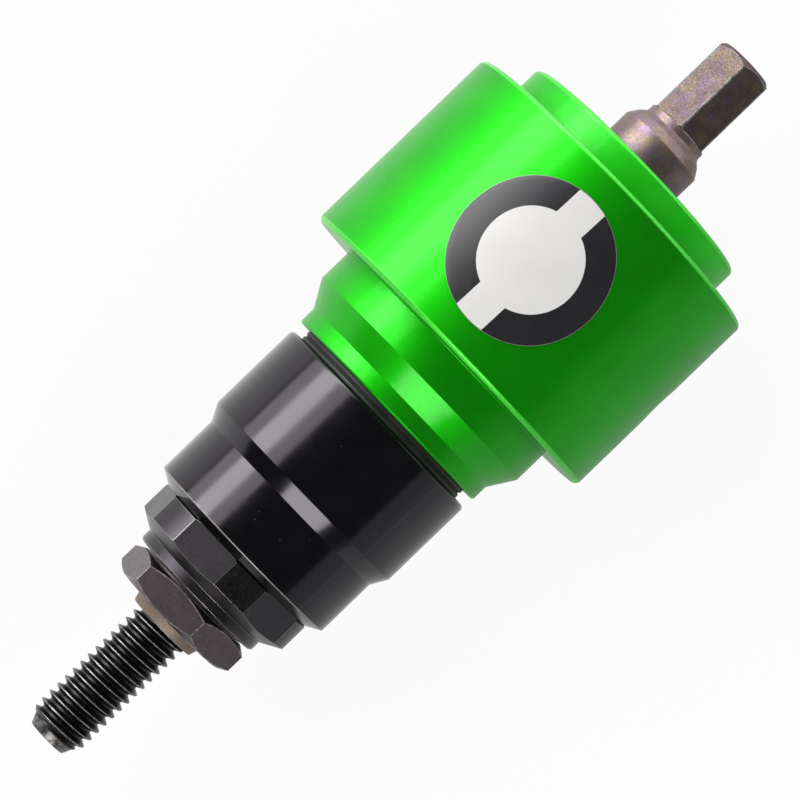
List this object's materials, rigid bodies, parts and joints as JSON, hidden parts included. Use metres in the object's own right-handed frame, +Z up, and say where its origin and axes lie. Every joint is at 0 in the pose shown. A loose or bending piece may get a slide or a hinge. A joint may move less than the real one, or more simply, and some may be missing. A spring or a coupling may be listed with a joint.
{
  "type": "rivet nut setting tool",
  "caption": "Drill-driven rivet nut tool: hex shank turns a clutch and lead screw in a round housing, spinning a threaded mandrel into the rivet nut and pulling it back.",
  "frame": {"origin": "centre of the nosepiece's front face, on the mandrel's axis", "axes": "+X forward along the mandrel out of the nose, +Y out of the handle port, +Z up through the badge"},
  "size_m": [0.1209, 0.0462, 0.0463],
  "materials": {
    "green_anodised": "fine bead-blasted green anodised",
    "badge_print": "printed black and white label",
    "rubber": "matt black",
    "black_oxide": "oiled black oxide",
    "phosphate_steel": "brown-grey phosphate",
    "bearing_steel": "ground bright steel",
    "bronze": "machined bronze"
  },
  "bodies": {
    "housing": {"main_housing": "green_anodised", "rear_cover": "green_anodised", "badge": "badge_print", "sleeve_seal": "rubber", "front_sleeve": "black_oxide", "lock_nut": "black_oxide", "nosepiece": "phosphate_steel", "thrust_washer_front": "bearing_steel", "rear_bearing_outer": "bearing_steel", "bearing_snap_ring": "bearing_steel", "shaft_seal": "rubber", "cover_o_ring": "rubber"},
    "drive": {"input_shaft": "phosphate_steel", "drive_nut": "bronze", "nut_pins": "bearing_steel", "thrust_washer_rear": "bearing_steel", "rear_bearing_inner": "bearing_steel", "clutch_snap_ring": "bearing_steel"},
    "clutch": {"clutch_hub": "bronze", "clutch_rings": "rubber"},
    "puller": {"puller": "bearing_steel", "puller_cap": "bearing_steel", "mandrel": "black_oxide"},
    "thrust_ball_set": {"thrust_cage": "bronze", "thrust_balls": "bearing_steel"},
    "rear_ball_set": {"rear_bearing_cage": "bronze", "rear_bearing_balls": "bearing_steel"}
  },
  "joints": [
    {"name": "shaft_spin", "type": "hinge", "parent": "housing", "child": "drive", "pos_m": [-0.095, 0, 0], "axis": [1, 0, 0], "continuous": true},
    {"name": "clutch_slip", "type": "hinge", "parent": "drive", "child": "clutch", "pos_m": [-0.0502, 0, 0], "axis": [-1, 0, 0], "range_deg": [0, 1080]},
    {"name": "pull_stroke", "type": "slide", "parent": "clutch", "child": "puller", "axis": [-1, 0, 0], "range_m": [0, 0.006]},
    {"name": "thrust_cage_spin", "type": "hinge", "parent": "housing", "child": "thrust_ball_set", "pos_m": [-0.056, 0, 0], "axis": [1, 0, 0], "continuous": true},
    {"name": "rear_cage_spin", "type": "hinge", "parent": "housing", "child": "rear_ball_set", "pos_m": [-0.0758, 0, 0], "axis": [1, 0, 0], "continuous": true}
  ],
  "couplings": [
    {"joint": "clutch_slip", "follows": "pull_stroke", "rad_per_m": 3141.6},
    {"joint": "thrust_cage_spin", "follows": "shaft_spin", "ratio": 0.5},
    {"joint": "rear_cage_spin", "follows": "shaft_spin", "ratio": 0.3889}
  ]
}
